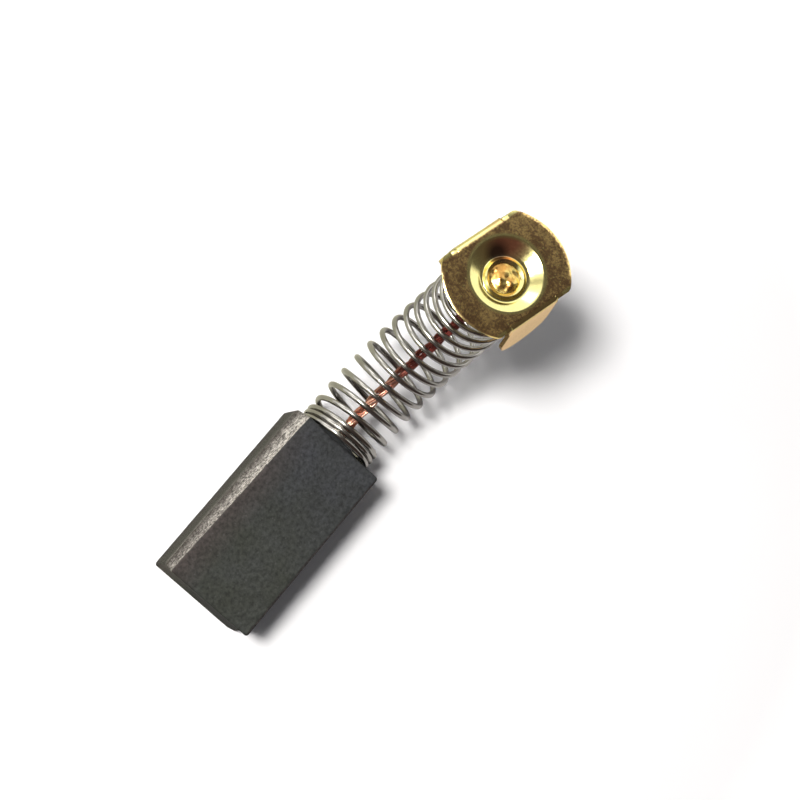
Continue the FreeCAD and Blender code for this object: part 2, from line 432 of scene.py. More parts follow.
class Effects:
    """Shared shader groups, each built once."""

    NOISE = (0.3, 0.7)  # what noise mostly lies between

    @staticmethod
    def _new(name: str, inputs: dict[str, float],
             outputs: Sequence[str]) -> tuple[Graph, dict[str, Socket], Node]:
        """Start a group that takes a vector and numbers, and gives masks.

        Args:
            name: Of the group.
            inputs: Name and default value of each number.
            outputs: Name of each mask.

        Returns:
            Its graph, what it is given, and its output node.
        """
        tree = bpy.data.node_groups.new(name, "ShaderNodeTree")
        sockets = tree.interface
        sockets.new_socket(name="Vector", in_out="INPUT", socket_type="NodeSocketVector")
        for label, default in inputs.items():
            socket = sockets.new_socket(name=label, in_out="INPUT", socket_type="NodeSocketFloat")
            socket.default_value = default
        for label in outputs:
            sockets.new_socket(name=label, in_out="OUTPUT", socket_type="NodeSocketFloat")
        graph = Graph(tree)
        given = graph.add("NodeGroupInput").outputs
        return graph, given, graph.add("NodeGroupOutput")

    @staticmethod
    @cache
    def mottle() -> bpy.types.NodeTree:
        """Build cloudy and fine mottling over a surface.

        Returns:
            Group with Cloud, Fine and Specks masks.
        """
        graph, given, out = Effects._new(
            "mottle", {"Cloud Scale": 0.25, "Fine Scale": 3.0, "Speck Scale": 5.0},
            ("Cloud", "Fine", "Specks"))
        cloud = graph.noise(given["Vector"], given["Cloud Scale"], 3.0, 0.55)
        fine = graph.noise(given["Vector"], given["Fine Scale"], 4.0, 0.65)
        cells = graph.add("ShaderNodeTexVoronoi", {
            "Vector": given["Vector"], "Scale": given["Speck Scale"]}).outputs
        lot = graph.add("ShaderNodeSeparateColor", {"Color": cells["Color"]}).outputs[0]
        near, few = graph.spread(cells["Distance"], 0.38, 0.12), graph.spread(lot, 0.8, 0.92)
        graph.feed(out, {"Cloud": graph.spread(cloud, *Effects.NOISE),
                         "Fine": graph.spread(fine, *Effects.NOISE),
                         "Specks": graph.times(near, few)})
        return graph.tree

    @staticmethod
    @cache
    def scratch(axis: Axis) -> bpy.types.NodeTree:
        """Build fine lines along one axis, as grinding, sawing or drawing leaves them.

        Args:
            axis: Direction of the lines.

        Returns:
            Group with a soft Grain mask and a sparse Lines mask.
        """
        graph, given, out = Effects._new(
            f"scratch_{axis.name.lower()}", {"Length": 4.0, "Width": 0.1}, ("Grain", "Lines"))
        scale = [graph.maths("DIVIDE", 1.0, given["Width"])] * 3
        scale[axis.value] = graph.maths("DIVIDE", 1.0, given["Length"])
        sizes = graph.add("ShaderNodeCombineXYZ", dict(enumerate(scale))).outputs[0]
        flow = graph.vectors("MULTIPLY", {0: given["Vector"], 1: sizes})
        grain = graph.noise(flow, 1.0, 3.0, 0.6)
        lines = graph.noise(flow, 0.6, 1.0, distortion=0.2)
        graph.feed(out, {"Grain": graph.spread(grain, *Effects.NOISE),
                         "Lines": graph.spread(lines, 0.62, 0.72)})
        return graph.tree

    @staticmethod
    @cache
    def across_chamfer() -> bpy.types.NodeTree:
        """Tell the place across the long chamfers of the block.

        Returns:
            Group with Share: 0 at a chamfer's outer edge, 1 at its inner edge, below 0 on the
            narrow side.
        """
        graph, given, out = Effects._new(
            "across_chamfer", {"Half Height": 3.15, "Leg": 1.24, "Growth": 0.027}, ("Share",))
        along, across, up = graph.split(given["Vector"])
        height = graph.times(up, graph.maths("SIGN", across))
        leg = graph.plus(given["Leg"], graph.times(along, given["Growth"]))
        edge = graph.maths("SUBTRACT", given["Half Height"], leg)
        over = graph.maths("SUBTRACT", height, edge)
        graph.feed(out, {"Share": graph.maths("DIVIDE", over, leg)})
        return graph.tree


# ---- Finishes


@dataclass(frozen=True)
class Finish:
    """What every finish shares."""

    name: str

    def make(self) -> bpy.types.Material:
        """Build the material.

        Returns:
            A material with a Principled shader.
        """
        material = bpy.data.materials.new(self.name)
        material.use_nodes = True
        material.node_tree.nodes.clear()
        graph = Graph(material.node_tree)
        shader = graph.add("ShaderNodeBsdfPrincipled", self.inputs(graph))
        graph.add("ShaderNodeOutputMaterial", {"Surface": shader.outputs[0]},
                  is_active_output=True)
        return material

    def inputs(self, graph: Graph) -> dict[str, object]:
        """Tell what feeds the shader, in each finish its own way.

        Args:
            graph: The material's graph.

        Returns:
            The shader's inputs.
        """
        raise NotImplementedError

    @staticmethod
    def place(graph: Graph) -> Socket:
        """Give the surface position in millimetres."""
        where = graph.add("ShaderNodeTexCoord").outputs["Object"]
        return graph.vectors("SCALE", {0: where, "Scale": 1 / MM})

    @staticmethod
    def mottle(graph: Graph, place: Socket, scales: Scales) -> list[Socket]:
        """Mottle the surface.

        Args:
            graph: The material's graph.
            place: Where on the surface.
            scales: Of the clouds, the fine mottling and the specks.

        Returns:
            Masks of the clouds, the fine mottling and the specks.
        """
        names = ("Cloud Scale", "Fine Scale", "Speck Scale")
        return graph.group(Effects.mottle(), {"Vector": place, **dict(zip(names, scales))})

    @staticmethod
    def scratch(graph: Graph, place: Socket, axis: Axis, length: float,
                width: float) -> list[Socket]:
        """Draw fine lines over the surface.

        Args:
            graph: The material's graph.
            place: Where on the surface.
            axis: Direction of the lines.
            length: Of a line.
            width: Of a line.

        Returns:
            Masks of the soft grain and the sparse lines.
        """
        return graph.group(Effects.scratch(axis), {
            "Vector": place, "Length": length, "Width": width})

    @staticmethod
    def bump(graph: Graph, height: Socket, depth: float) -> Socket:
        """Turn a height into a normal.

        Args:
            graph: The material's graph.
            height: Height from 0 to 1.
            depth: Millimetres from 0 to 1.

        Returns:
            The normal.
        """
        return graph.add("ShaderNodeBump", {
            "Height": height, "Distance": depth * MM, "Strength": 1.0}).outputs[0]


@dataclass(frozen=True)
class PressedCarbon(Finish):
    """The wide faces as pressed: dark, close-grained, faintly mottled."""

    name: str = "pressed_carbon"
    cool: Colour = (0.032, 0.0335, 0.0375)  # towards the spring
    warm: Colour = (0.033, 0.0355, 0.028)  # towards the contact end
    brown: Colour = (0.05, 0.038, 0.0355)  # tint along the worn edge
    speck: Colour = (0.12, 0.12, 0.12)
    scales: Scales = (0.3, 2.5, 3.4)
    warm_along: Span = (-4.0, -12.0)
    brown_along: Span = (0.0, -7.0)
    brown_across: Span = (1.4, 4.2)
    fine_shade: Span = (0.58, 1.42)
    cloud_shade: Span = (1.12, 0.88)
    roughness: Span = (0.5, 0.72)

    def inputs(self, graph: Graph) -> dict[str, object]:
        """Drift from cool to warm, brown the worn edge and mottle the whole.

        Args:
            graph: The material's graph.

        Returns:
            The shader's inputs.
        """
        place = self.place(graph)
        cloud, fine, specks = self.mottle(graph, place, self.scales)
        along, across, _ = graph.split(place)
        warmed = graph.plus(graph.times(graph.spread(along, *self.warm_along), 0.6),
                            graph.times(cloud, 0.4))
        browned = graph.times(graph.spread(across, *self.brown_across),
                              graph.spread(along, *self.brown_along))
        colour = graph.mix(warmed, self.cool, self.warm)
        colour = graph.mix(graph.times(browned, 0.8), colour, self.brown)
        shade = graph.times(graph.spread(fine, 0.1, 0.9, *self.fine_shade),
                            graph.spread(cloud, 0.0, 1.0, *self.cloud_shade))
        colour = graph.mix(graph.times(specks, 0.18), graph.shaded(colour, shade), self.speck)
        return {"Base Color": colour,
                "Roughness": graph.spread(fine, 0.0, 1.0, *self.roughness),
                "Specular IOR Level": 0.22, "Normal": self.bump(graph, fine, 0.02)}


@dataclass(frozen=True)
class GroundCarbon(Finish):
    """The ground chamfers and narrow sides: bright grains and short streaks, worn unevenly; the
    grains' brightness is partly painted sheen, laid thickest in a band across each chamfer.
    """

    name: str = "ground_carbon"
    dark: Colour = (0.078, 0.068, 0.06)  # between the bright grains
    light: Colour = (0.66, 0.62, 0.56)  # the bright grains, their colour partly painted sheen
    across: Span = (0.0, 0.75)  # shares of the chamfer where the grains and their painted sheen begin and are thickest
    most: float = 1.0  # how thick they are there
    left: Span = (0.42, 1.0)  # share of them, painted sheen included, at the contact end and at the spring end
    ends: Span = (-17.0, -5.0)  # where along the block those two ends begin
    ragged: Span = (-0.22, 0.22)
    scales: Scales = (0.9, 5.4, 5.2)
    streak: Span = (0.42, 0.09)  # length and width
    dark_shade: Span = (0.35, 1.75)
    roughness: Span = (0.62, 0.4)

    def inputs(self, graph: Graph) -> dict[str, object]:
        """Strew bright grains over the dark carbon, thick and thin, their brightness partly painted
        sheen.

        Args:
            graph: The material's graph.

        Returns:
            The shader's inputs.
        """
        place = self.place(graph)
        streaks, _ = self.scratch(graph, place, Axis.X, *self.streak)
        cloud, fine, _ = self.mottle(graph, place, self.scales)
        share = graph.group(Effects.across_chamfer(), {"Vector": place})[0]
        share = graph.plus(share, graph.spread(cloud, 0.0, 1.0, *self.ragged))
        reach = graph.times(graph.spread(share, *self.across, 0.0, self.most),
                            graph.spread(graph.split(place)[0], *self.ends, *self.left))
        grain = graph.times(graph.spread(streaks, 0.15, 0.85, 0.0, 1.2),
                            graph.spread(fine, 0.1, 0.9, 0.2, 1.6))
        # painted sheen: the glint mask lays the bright grain colour in a band across the chamfer
        glint = graph.times(reach, grain, True)
        ground = graph.shaded(self.dark, graph.spread(fine, 0.1, 0.9, *self.dark_shade))
        return {"Base Color": graph.mix(glint, ground, self.light),
                "Roughness": graph.spread(glint, 0.0, 1.0, *self.roughness),
                "Metallic": 0.3, "Specular IOR Level": 0.25,
                "Normal": self.bump(graph, grain, 0.03)}


@dataclass(frozen=True)
class TampedPowder(Finish):
    """Copper powder packed round the shunt."""

    name: str = "tamped_powder"
    dark: Colour = (0.05, 0.03, 0.025)  # the binder
    light: Colour = (0.45, 0.2, 0.1)  # the copper grains
    scales: Scales = (1.0, 6.0, 9.0)

    def inputs(self, graph: Graph) -> dict[str, object]:
        """Mix copper grains into the binder.

        Args:
            graph: The material's graph.

        Returns:
            The shader's inputs.
        """
        _, fine, specks = self.mottle(graph, self.place(graph), self.scales)
        grains = graph.plus(specks, graph.times(fine, 0.4), True)
        return {"Base Color": graph.mix(grains, self.dark, self.light),
                "Metallic": graph.spread(grains, 0.2, 0.9, 0.1, 0.8), "Roughness": 0.55,
                "Normal": self.bump(graph, fine, 0.05)}


@dataclass(frozen=True)
class DrawnWire(Finish):
    """Bright drawn wire with lines along it and duller patches."""

    name: str = "drawn_spring_wire"
    bright: Colour = (0.42, 0.405, 0.38)
    dull: Colour = (0.26, 0.245, 0.22)
    roughness: Span = (0.13, 0.24)  # where it is bright and where it is dull
    line: Span = (3.0, 0.05)  # length and width of the drawing lines
    relief: float = 0.0012  # their depth
    # painted shade: the colour the far stretch of the wire darkens to
    tarnish: Colour = (0.36, 0.335, 0.29)
    painted_shade_span: Span = (1000.0, 1001.0)  # lengths along the wire where its painted shade begins and is complete
    scales: Scales = (0.5, 5.0, 6.0)

    def inputs(self, graph: Graph) -> dict[str, object]:
        """Dull the wire in patches and lines, and darken its far stretch with painted shade.

        Args:
            graph: The material's graph.

        Returns:
            The shader's inputs.
        """
        flow = graph.add("ShaderNodeAttribute", attribute_name="flow").outputs["Vector"]
        grain, _ = self.scratch(graph, flow, Axis.X, *self.line)
        cloud = self.mottle(graph, self.place(graph), self.scales)[0]
        dulled = graph.plus(graph.times(cloud, 0.45), graph.times(grain, 0.4), True)
        wander = graph.plus(graph.split(flow)[0], graph.times(cloud, 2.0))
        # painted shade: the far stretch darkens to the colour given as tarnish
        return {"Base Color": graph.mix(graph.spread(wander, *self.painted_shade_span),
                                        graph.mix(dulled, self.bright, self.dull), self.tarnish),
                "Roughness": graph.spread(dulled, 0.0, 1.0, *self.roughness), "Metallic": 1.0,
                "Normal": self.bump(graph, grain, self.relief)}


@dataclass(frozen=True)
class DishSpot:
    """A coloured spot in the dish, placed square to the cap's axis, used for a heat tint and for a
    painted dark reflection.
    """

    colour: Colour
    centre: Span
    radii: Span  # where it has faded and where it is full


@dataclass(frozen=True)
class PressedBrass(Finish):
    """Bright sheet brass with a brown film on the flange, rubbed clean on its edges."""

    name: str = "pressed_brass"
    axes: Matrix = Matrix.Identity(4)  # placement of the cap, so that the film follows its shape
    clean: Colour = (0.89, 0.80, 0.34)
    edge_tint: Colour = (1.0, 0.82, 0.54)  # of what it mirrors at a grazing view
    film: Colour = (0.98, 0.70, 0.285)
    tarnish: Colour = (0.26, 0.145, 0.075)  # where the film has browned
    ear_reflection: Colour = (0.95, 0.72, 0.43)  # painted reflection: the ear on -Y tinted as the floor it mirrors
    # a reddish heat tint, and a near-black painted dark reflection on the dish's wall
    dish_spots: tuple[DishSpot, ...] = (DishSpot((0.95, 0.42, 0.25), (2.0, 2.5), (2.3, 0.9)),
                               DishSpot((0.12, 0.08, 0.06), (0.55, 2.0), (1.35, 0.5)))
    spot_most: float = 0.9
    film_round: Span = (3.56, 3.81)  # radii from the dish's edge outwards
    film_up: Span = (0.34, 0.38)  # heights from the rolled edge up to the flat
    film_across: Span = (4.07, 3.95)  # distances from the bend inwards
    # where the painted reflection lies: the ear on -Y, below the flange
    ear_across: Span = (-3.9, -4.3)
    ear_down: Span = (0.3, -0.1)
    dish_down: Span = (0.4, 0.3)
    scales: Scales = (0.8, 4.4, 3.8)
    rub: Span = (2.2, 0.09)  # length and width
    roughness: Span = (0.12, 0.2)
    relief: float = 0.0028

    def inputs(self, graph: Graph) -> dict[str, object]:
        """Lay the film on the flange, brown it in blotches, paint a reflection on the -Y ear, and
        lay a heat tint and a painted dark reflection in the dish.

        Args:
            graph: The material's graph.

        Returns:
            The shader's inputs.
        """
        place = graph.add("ShaderNodeMapping", {
            "Vector": self.place(graph), "Location": tuple(self.axes.translation),
            "Rotation": tuple(self.axes.to_euler())}, vector_type="TEXTURE").outputs[0]
        x, y, z = graph.split(place)
        flat = graph.add("ShaderNodeCombineXYZ", {0: x, 1: y}).outputs[0]
        radius = graph.vectors("LENGTH", {0: flat}, "Value")
        cloud, fine, specks = self.mottle(graph, place, self.scales)
        _, rubbed = self.scratch(graph, place, Axis.Y, *self.rub)
        within = graph.spread(graph.maths("ABSOLUTE", y), *self.film_across)
        filmed = graph.times(graph.spread(radius, *self.film_round),
                             graph.times(graph.spread(z, *self.film_up), within))
        patch = graph.spread(cloud, 0.2, 0.8, -0.16, 0.24)
        blotch = graph.spread(graph.plus(fine, patch), 0.2, 0.75)
        browned = graph.times(blotch, graph.spread(filmed, 0.0, 1.0, 0.12, 0.9))
        ear = graph.times(graph.spread(y, *self.ear_across), graph.spread(z, *self.ear_down))
        # painted reflection on the -Y ear
        colour = graph.mix(ear, graph.mix(filmed, self.clean, self.film), self.ear_reflection)
        colour = graph.mix(browned, colour, self.tarnish)
        inside = graph.spread(z, *self.dish_down)
        # heat tint and painted dark reflection in the dish
        for spot in self.dish_spots:
            offset = graph.vectors("DISTANCE", {0: flat, 1: (*spot.centre, 0.0)}, "Value")
            spotted = graph.times(graph.spread(offset, *spot.radii), inside)
            colour = graph.mix(graph.times(spotted, self.spot_most), colour, spot.colour)
        colour = graph.mix(graph.times(graph.times(specks, filmed), 0.9), colour, self.clean)
        relief = graph.plus(graph.times(fine, graph.spread(filmed, 0.0, 1.0, 0.3, 1.0)),
                            graph.times(graph.times(rubbed, -0.4), filmed))
        return {"Base Color": colour, "Specular Tint": self.edge_tint, "Metallic": 1.0,
                "Roughness": graph.plus(graph.spread(fine, 0.0, 1.0, *self.roughness),
                                        graph.times(filmed, 0.04)),
                "Normal": self.bump(graph, relief, self.relief)}


@dataclass(frozen=True)
class HeatTintedWeld(Finish):
    """Resistance weld: melted brass and copper, glossy, tinted orange to dark red."""

    name: str = "heat_tinted_weld"
    bright: Colour = (0.93, 0.75, 0.25)
    tint: Colour = (0.56, 0.30, 0.08)
    scales: Scales = (0.7, 2.5, 5.0)
    roughness: Span = (0.18, 0.38)

    def inputs(self, graph: Graph) -> dict[str, object]:
        """Tint the melt in clouds.

        Args:
            graph: The material's graph.

        Returns:
            The shader's inputs.
        """
        cloud, fine, _ = self.mottle(graph, self.place(graph), self.scales)
        return {"Base Color": graph.mix(graph.spread(cloud, 0.35, 0.75), self.bright, self.tint),
                "Roughness": graph.spread(fine, 0.0, 1.0, *self.roughness), "Metallic": 1.0,
                "Normal": self.bump(graph, fine, 0.003)}


@dataclass(frozen=True)
class StudioFloor(Finish):
    """Matt pale table, white where the camera looks at it; what the metal mirrors of it has painted
    shade on the side away from the lamps and a painted glow beyond.
    """

    name: str = "studio_floor"
    seen: Colour = (0.99, 0.985, 1.0)  # by the camera
    lit: Colour = (0.45, 0.45, 0.46)  # as it throws light back at the brush
    mirrored: Colour = (0.62, 0.62, 0.50)  # in the metal, on the side of the lamps
    shaded: Colour = (0.36, 0.34, 0.33)  # painted shade: the floor as the metal mirrors it on the other side
    sides: Span = (-1.0, 4.0)  # from the shaded side to the mirrored one
    white: Span = (55.0, 130.0)  # distances over which the table runs out into white
    painted_glow_across: Span = (-6.5, -11.0)
    painted_glow: float = 0.42  # painted light: how brightly the floor glows to glossy rays there

    def inputs(self, graph: Graph) -> dict[str, object]:
        """Part what the camera sees from what lights the brush and what the metal mirrors, which
        carries painted shade and a painted glow.

        Args:
            graph: The material's graph.

        Returns:
            The shader's inputs.
        """
        rays = graph.add("ShaderNodeLightPath").outputs
        place = self.place(graph)
        across = graph.split(place)[1]
        # painted shade on the side away from the lamps, in what the metal mirrors
        mirrored = graph.mix(graph.spread(across, *self.sides), self.shaded, self.mirrored)
        colour = graph.mix(rays["Is Glossy Ray"], self.lit, mirrored)
        away = graph.vectors("LENGTH", {0: place}, "Value")
        white = graph.times(graph.spread(away, *self.white), rays["Is Camera Ray"])
        # painted light: emission that only glossy rays see
        painted_glow = graph.times(graph.spread(across, *self.painted_glow_across, 0.0, self.painted_glow),
                           rays["Is Glossy Ray"])
        return {"Base Color": graph.mix(rays["Is Camera Ray"], colour, self.seen),
                "Emission Strength": graph.plus(white, painted_glow), "Emission Color": WHITE,
                "Roughness": 0.9, "Specular IOR Level": 0.0}


# ---- The brush's sub-assemblies


@dataclass(frozen=True)
class SpringLine:
    """The bent centre line of the spring: straight, two tangent arcs, straight."""

    lead: float = 1.995  # straight, over the closed coils at the block
    arcs: tuple[tuple[float, float, float], ...] = (  # length, angle and lean of each
        (12.4, 44.7, 1.1), (12.1, 42.6, -12.4))
    tail: float = 2.28  # straight, over the closed coils at the cap

    @property
    def length(self) -> float:
        """Whole length from the block to the cap."""
        return self.lead + sum(arc[0] for arc in self.arcs) + self.tail

    def frame_at(self, length: float) -> Matrix:
        """Give the frame on the line, +X ahead and +Z to the inner side of the bend.

        Args:
            length: From the block's face.

        Returns:
            Placement in millimetres.
        """
        run = min(length, self.lead)
        carried = Matrix.Translation((run, 0, 0))
        rest = length - run
        for span, angle, lean in self.arcs:
            run = min(rest, span)
            if run <= 0:
                return carried
            carried = carried @ self._arc(run, span, math.radians(angle), math.radians(lean))
            rest -= run
        return carried @ Matrix.Translation((rest, 0, 0))

    @staticmethod
    def _arc(run: float, span: float, angle: float, lean: float) -> Matrix:
        """Carry the frame along an arc.

        Args:
            run: Length travelled on the arc.
            span: The arc's whole length.
            angle: The arc's whole angle.
            lean: Turn of the arc's plane about +X.

        Returns:
            Placement in millimetres.
        """
        inward = Vector((0, -math.sin(lean), math.cos(lean)))
        centre = inward * span / angle
        swing = Matrix.Rotation(angle * run / span, 4, Vector((1, 0, 0)).cross(inward))
        return Matrix.Translation(centre) @ swing @ Matrix.Translation(-centre)


@dataclass(frozen=True)
class TailSpring:
    """The compression spring, closed at both ends and wound right-handed round the bent line."""

    line: SpringLine
    wire: float = 0.55
    outside: float = 8.05
    closed_at_block: float = 2.19
    open_coils: float = 14.77
    closed_at_cap: float = 3.5
    ramp: float = 0.5  # turns over which the pitch opens
    closed_pitch: float = 0.57
    stand_off: float = 0.285
    first_angle: float = 274.4
    steps_per_turn: int = 44
    sides: int = 16

    @property
    def turns(self) -> float:
        """All coils, open and closed."""
        return self.closed_at_block + self.open_coils + self.closed_at_cap

    @property
    def open_pitch(self) -> float:
        """Full pitch of the open coils."""
        spare = self.line.length - 2 * self.stand_off - self.closed_pitch * self.turns
        return self.closed_pitch + spare / (self.open_coils - self.ramp)

    def climb(self, turns: float) -> float:
        """Tell how far the coil has climbed.

        Args:
            turns: Turns from its start.

        Returns:
            Length along the line.
        """
        ramp = self.ramp
        opened = turns - self.closed_at_block
        opening = max(0.0, min(opened, ramp))
        full = max(0.0, min(opened - ramp, self.open_coils - 2 * ramp))
        closing = max(0.0, min(opened - self.open_coils + ramp, ramp))
        extra = opening**2 / (2 * ramp) + full + closing - closing**2 / (2 * ramp)
        return self.closed_pitch * turns + (self.open_pitch - self.closed_pitch) * extra

    def wire_point(self, turns: float) -> Vector:
        """Give a point of the wire's centre line.

        Args:
            turns: Turns from its start.

        Returns:
            Position in millimetres.
        """
        angle = math.radians(self.first_angle + 360 * turns)
        radius = (self.outside - self.wire) / 2
        spoke = Vector((0, -math.sin(angle), math.cos(angle))) * radius
        return self.line.frame_at(self.stand_off + self.climb(turns)) @ spoke

    def build(self, finish: Finish) -> Piece:
        """Wind the spring.

        Args:
            finish: Of the wire.

        Returns:
            The spring.
        """
        count = round(self.turns * self.steps_per_turn)
        points = [self.wire_point(self.turns * k / count) for k in range(count + 1)]
        shell = Shell("tail_spring")
        sweep_tube(shell, points, self.wire / 2, self.sides, Vector((1, 0, 0)))
        return shell.build([finish])


@dataclass(frozen=True)
class CopperShunt:
    """The flexible rope: strands of fine wire laid round each other, inside the spring."""

    line: SpringLine
    depth: float = 6.0  # in the block
    straight_start: float = 2.2
    stations: tuple[Span, ...] = (  # length along the spring, offset to the bend's inner side
        (6.8, 1.2), (12.0, 1.9), (17.0, 1.75), (21.6, 0.8))
    straight_end: float = 2.6
    foot: float = -1.15
    strands: int = 3
    strand_offset: float = 0.335
    strand_lay: float = 9.0
    wires: int = 5
    wire_offset: float = 0.155
    wire_lay: float = -7.0
    wire_radius: float = 0.095
    wire_sides: int = 6
    steps: int = 260

    def centre_line(self) -> list[Vector]:
        """Run a smooth quadratic spline along the rope's route, from the hole to the eyelet.

        Returns:
            Points at even steps of the spline.
        """
        last = self.line.frame_at(self.line.length)
        route = [Vector((x, 0, 0)) for x in (-self.depth, self.straight_start)]
        route += [self.line.frame_at(at) @ Vector((0, 0, aside)) for at, aside in self.stations]
        route += [last @ Vector((x, 0, 0)) for x in (self.foot - self.straight_end, self.foot)]
        joints = [route[0]] + [(a + b) / 2 for a, b in zip(route[1:-1], route[2:-1])] + [route[-1]]
        spans = list(zip(joints, route[1:-1], joints[1:]))
        points = []
        for k in range(self.steps + 1):
            place = len(spans) * k / self.steps
            index = min(int(place), len(spans) - 1)
            t = place - index
            a, b, c = spans[index]
            points.append(a * (1 - t) ** 2 + b * 2 * t * (1 - t) + c * t**2)
        return points

    def build(self, finish: Finish) -> Piece:
        """Lay the rope.

        Args:
            finish: Of the wires.

        Returns:
            The rope.
        """
        frames = list(carry_along(self.centre_line(), Vector((0, 0, 1))))
        shell = Shell("copper_shunt")
        for strand in range(self.strands):
            for wire in range(self.wires):
                points = [self._wire_point(place, strand, wire) for place in frames]
                sweep_tube(shell, points, self.wire_radius, self.wire_sides, frames[0][1])
        return shell.build([finish])

    def _wire_point(self, place: tuple[Vector, Vector, Vector, float], strand: int,
                    wire: int) -> Vector:
        """Give a point of one fine wire.

        Args:
            place: Point, two sides and length travelled on the rope's middle.
            strand: Index of the strand.
            wire: Index of the wire in it.

        Returns:
            Position in millimetres.
        """
        point, side, other, travelled = place
        lay = 2 * math.pi * (travelled / self.strand_lay + strand / self.strands)
        twist = 2 * math.pi * (travelled / self.wire_lay + wire / self.wires) + lay
        across = math.cos(lay) * self.strand_offset + math.cos(twist) * self.wire_offset
        up = math.sin(lay) * self.strand_offset + math.sin(twist) * self.wire_offset
        return point + side * across + other * up


@dataclass(frozen=True)
class CarbonBlock:
    """The block: two long tapered chamfers, worn edges and a ground contact end."""

    length: float = 19.2
    width: float = 9.95
    thickness: float = 6.3
    contact_radius: float = 13.7
    chamfer_at_spring: float = 1.25
    chamfer_at_contact: float = 0.7
    overrun: float = 0.5  # of the chamfers' taper past each end
    edge: float = 0.2  # rounding of the long edges
    wander: float = 0.3  # share by which it comes and goes
    chip: float = 0.3  # depth of the chips in them
    chip_from: float = 0.35  # noise at which a chip begins
    least_edge: float = 0.008
    end_edge: float = 0.32
    hole_radius: float = 1.4
    hole_shown: float = 0.6
    # the seat is a guess that fills with dark carbon the gap inside the first coils, where only
    # shade shows
    seat_radius: float = 2.85
    seat_height: float = 0.35
    stations: int = 120
    across_wide: int = 40
    across_side: int = 22
    across_chamfer: int = 8
    arc_steps: int = 3
    end_steps: int = 4
    cap_rings: int = 14

    def chamfer_leg(self, x: float) -> float:
        """Give the leg of the long chamfers.

        Args:
            x: Place along the block, 0 at the spring.

        Returns:
            Length in millimetres.
        """
        share = (self.overrun - x) / (self.length + 2 * self.overrun)
        return self.chamfer_at_spring + (self.chamfer_at_contact - self.chamfer_at_spring) * share

    def contact_x(self, z: float) -> float:
        """Give the contact face, which is ground to the commutator's radius.

        Args:
            z: Height from the block's middle.

        Returns:
            Place along the block.
        """
        depth = math.sqrt(self.contact_radius**2 - (self.thickness / 2) ** 2)
        return -self.length - depth + math.sqrt(self.contact_radius**2 - z**2)

    def section(self, x: float, inset: float = 0.0) -> list[tuple[Vector, Cut]]:
        """Give the block's outline at a place along it.

        Args:
            x: Place along the block.
            inset: How far the outline is drawn in.

        Returns:
            For each point its position and the cut of what follows it, anticlockwise seen
            from +X.
        """
        half, high, leg = self.width / 2, self.thickness / 2, self.chamfer_leg(x)
        corners = []
        for turn in (1, -1):
            corners += [
                (Vector((half, -high)) * turn, Cut.SIDE, self.across_side),
                (Vector((half, high - leg)) * turn, Cut.CHAMFER, self.across_chamfer),
                (Vector((half - leg, high)) * turn, Cut.PRESSED, self.across_wide),
            ]
        outline = []
        for k, (corner, cut, steps) in enumerate(corners):
            following = corners[(k + 1) % len(corners)][0]
            back = (corners[k - 1][0] - corner).normalized()
            ahead = (following - corner).normalized()
            radius = self._worn_radius(x, k)
            inside = back.angle(ahead) / 2
            inward = (back + ahead).normalized() / math.sin(inside)
            centre = corner + inward * max(radius, inset)
            outward = Vector((-back.y, back.x))
            swing = Matrix.Rotation((math.pi - 2 * inside) / self.arc_steps, 2)
            for j in range(self.arc_steps + 1):
                if j:
                    outward.rotate(swing)
                outline.append((centre + outward * max(radius - inset, self.least_edge), cut))
            start = corner + inward * radius + outward * (radius - inset)
            next_ahead = (corners[(k + 2) % len(corners)][0] - following).normalized()
            next_inside = (-ahead).angle(next_ahead) / 2
            next_radius = self._worn_radius(x, (k + 1) % len(corners))
            stop = following - ahead * next_radius / math.tan(next_inside) - outward * inset
            outline.extend((start.lerp(stop, j / steps), cut) for j in range(1, steps))
        return outline

    def _worn_radius(self, x: float, corner: int) -> float:
        """Give the rounding of a long edge, larger where it is chipped.

        Args:
            x: Place along the block.
            corner: Index of the edge.

        Returns:
            Radius in millimetres.
        """
        wander = noise.noise(Vector((x * 0.9, corner * 7.3, 0.4)))
        chip = max(0.0, noise.noise(Vector((x * 2.3, corner * 3.1, 5.0))) - self.chip_from)
        return self.edge * (1 + self.wander * wander) + self.chip * chip

    def build(self, pressed: Finish, side: Finish, chamfer: Finish) -> Piece:
        """Build the block.

        Args:
            pressed: Finish of the wide faces and the ends.
            side: Finish of the narrow sides.
            chamfer: Finish of the chamfers.

        Returns:
            The block.
        """
        shell = Shell("carbon_block_body")
        rings = []
        for share, inset, back in self._stations():
            step = back if share == 1.0 else -back
            rings.append(shell.add_points(
                Vector((self.contact_x(z) * share + step, y, z))
                for (y, z), _ in self.section(-self.length * share, inset)))
        slots = [cut.value for _, cut in self.section(0)]
        self._close_spring_end(shell, rings[0])
        for first, second in zip(rings, rings[1:]):
            shell.bridge(first, second, slots=slots)
        self._close_contact_end(shell, rings[-1])
        piece = shell.build([pressed, side, chamfer])
        weigh = piece.modifiers.new("even_normals", "WEIGHTED_NORMAL")
        weigh.keep_sharp = False
        weigh.weight = 90
        apply_modifiers(piece)
        return piece

    def _stations(self) -> list[tuple[float, float, float]]:
        """Give the rings along the block, close together at its rounded ends.

        Returns:
            Share of the length, inset of the outline and step back from the end for each ring.
        """
        turns = [math.pi / 2 * k / self.end_steps for k in range(self.end_steps)]
        bevel = [(self.end_edge * (1 - math.sin(a)), self.end_edge * (1 - math.cos(a)))
                 for a in turns]
        worn = self.end_edge / self.length
        middle = [(worn + (1 - 2 * worn) * k / self.stations, 0.0, 0.0)
                  for k in range(self.stations + 1)]
        return [(0.0, *step) for step in bevel] + middle + [(1.0, *step) for step in bevel[::-1]]

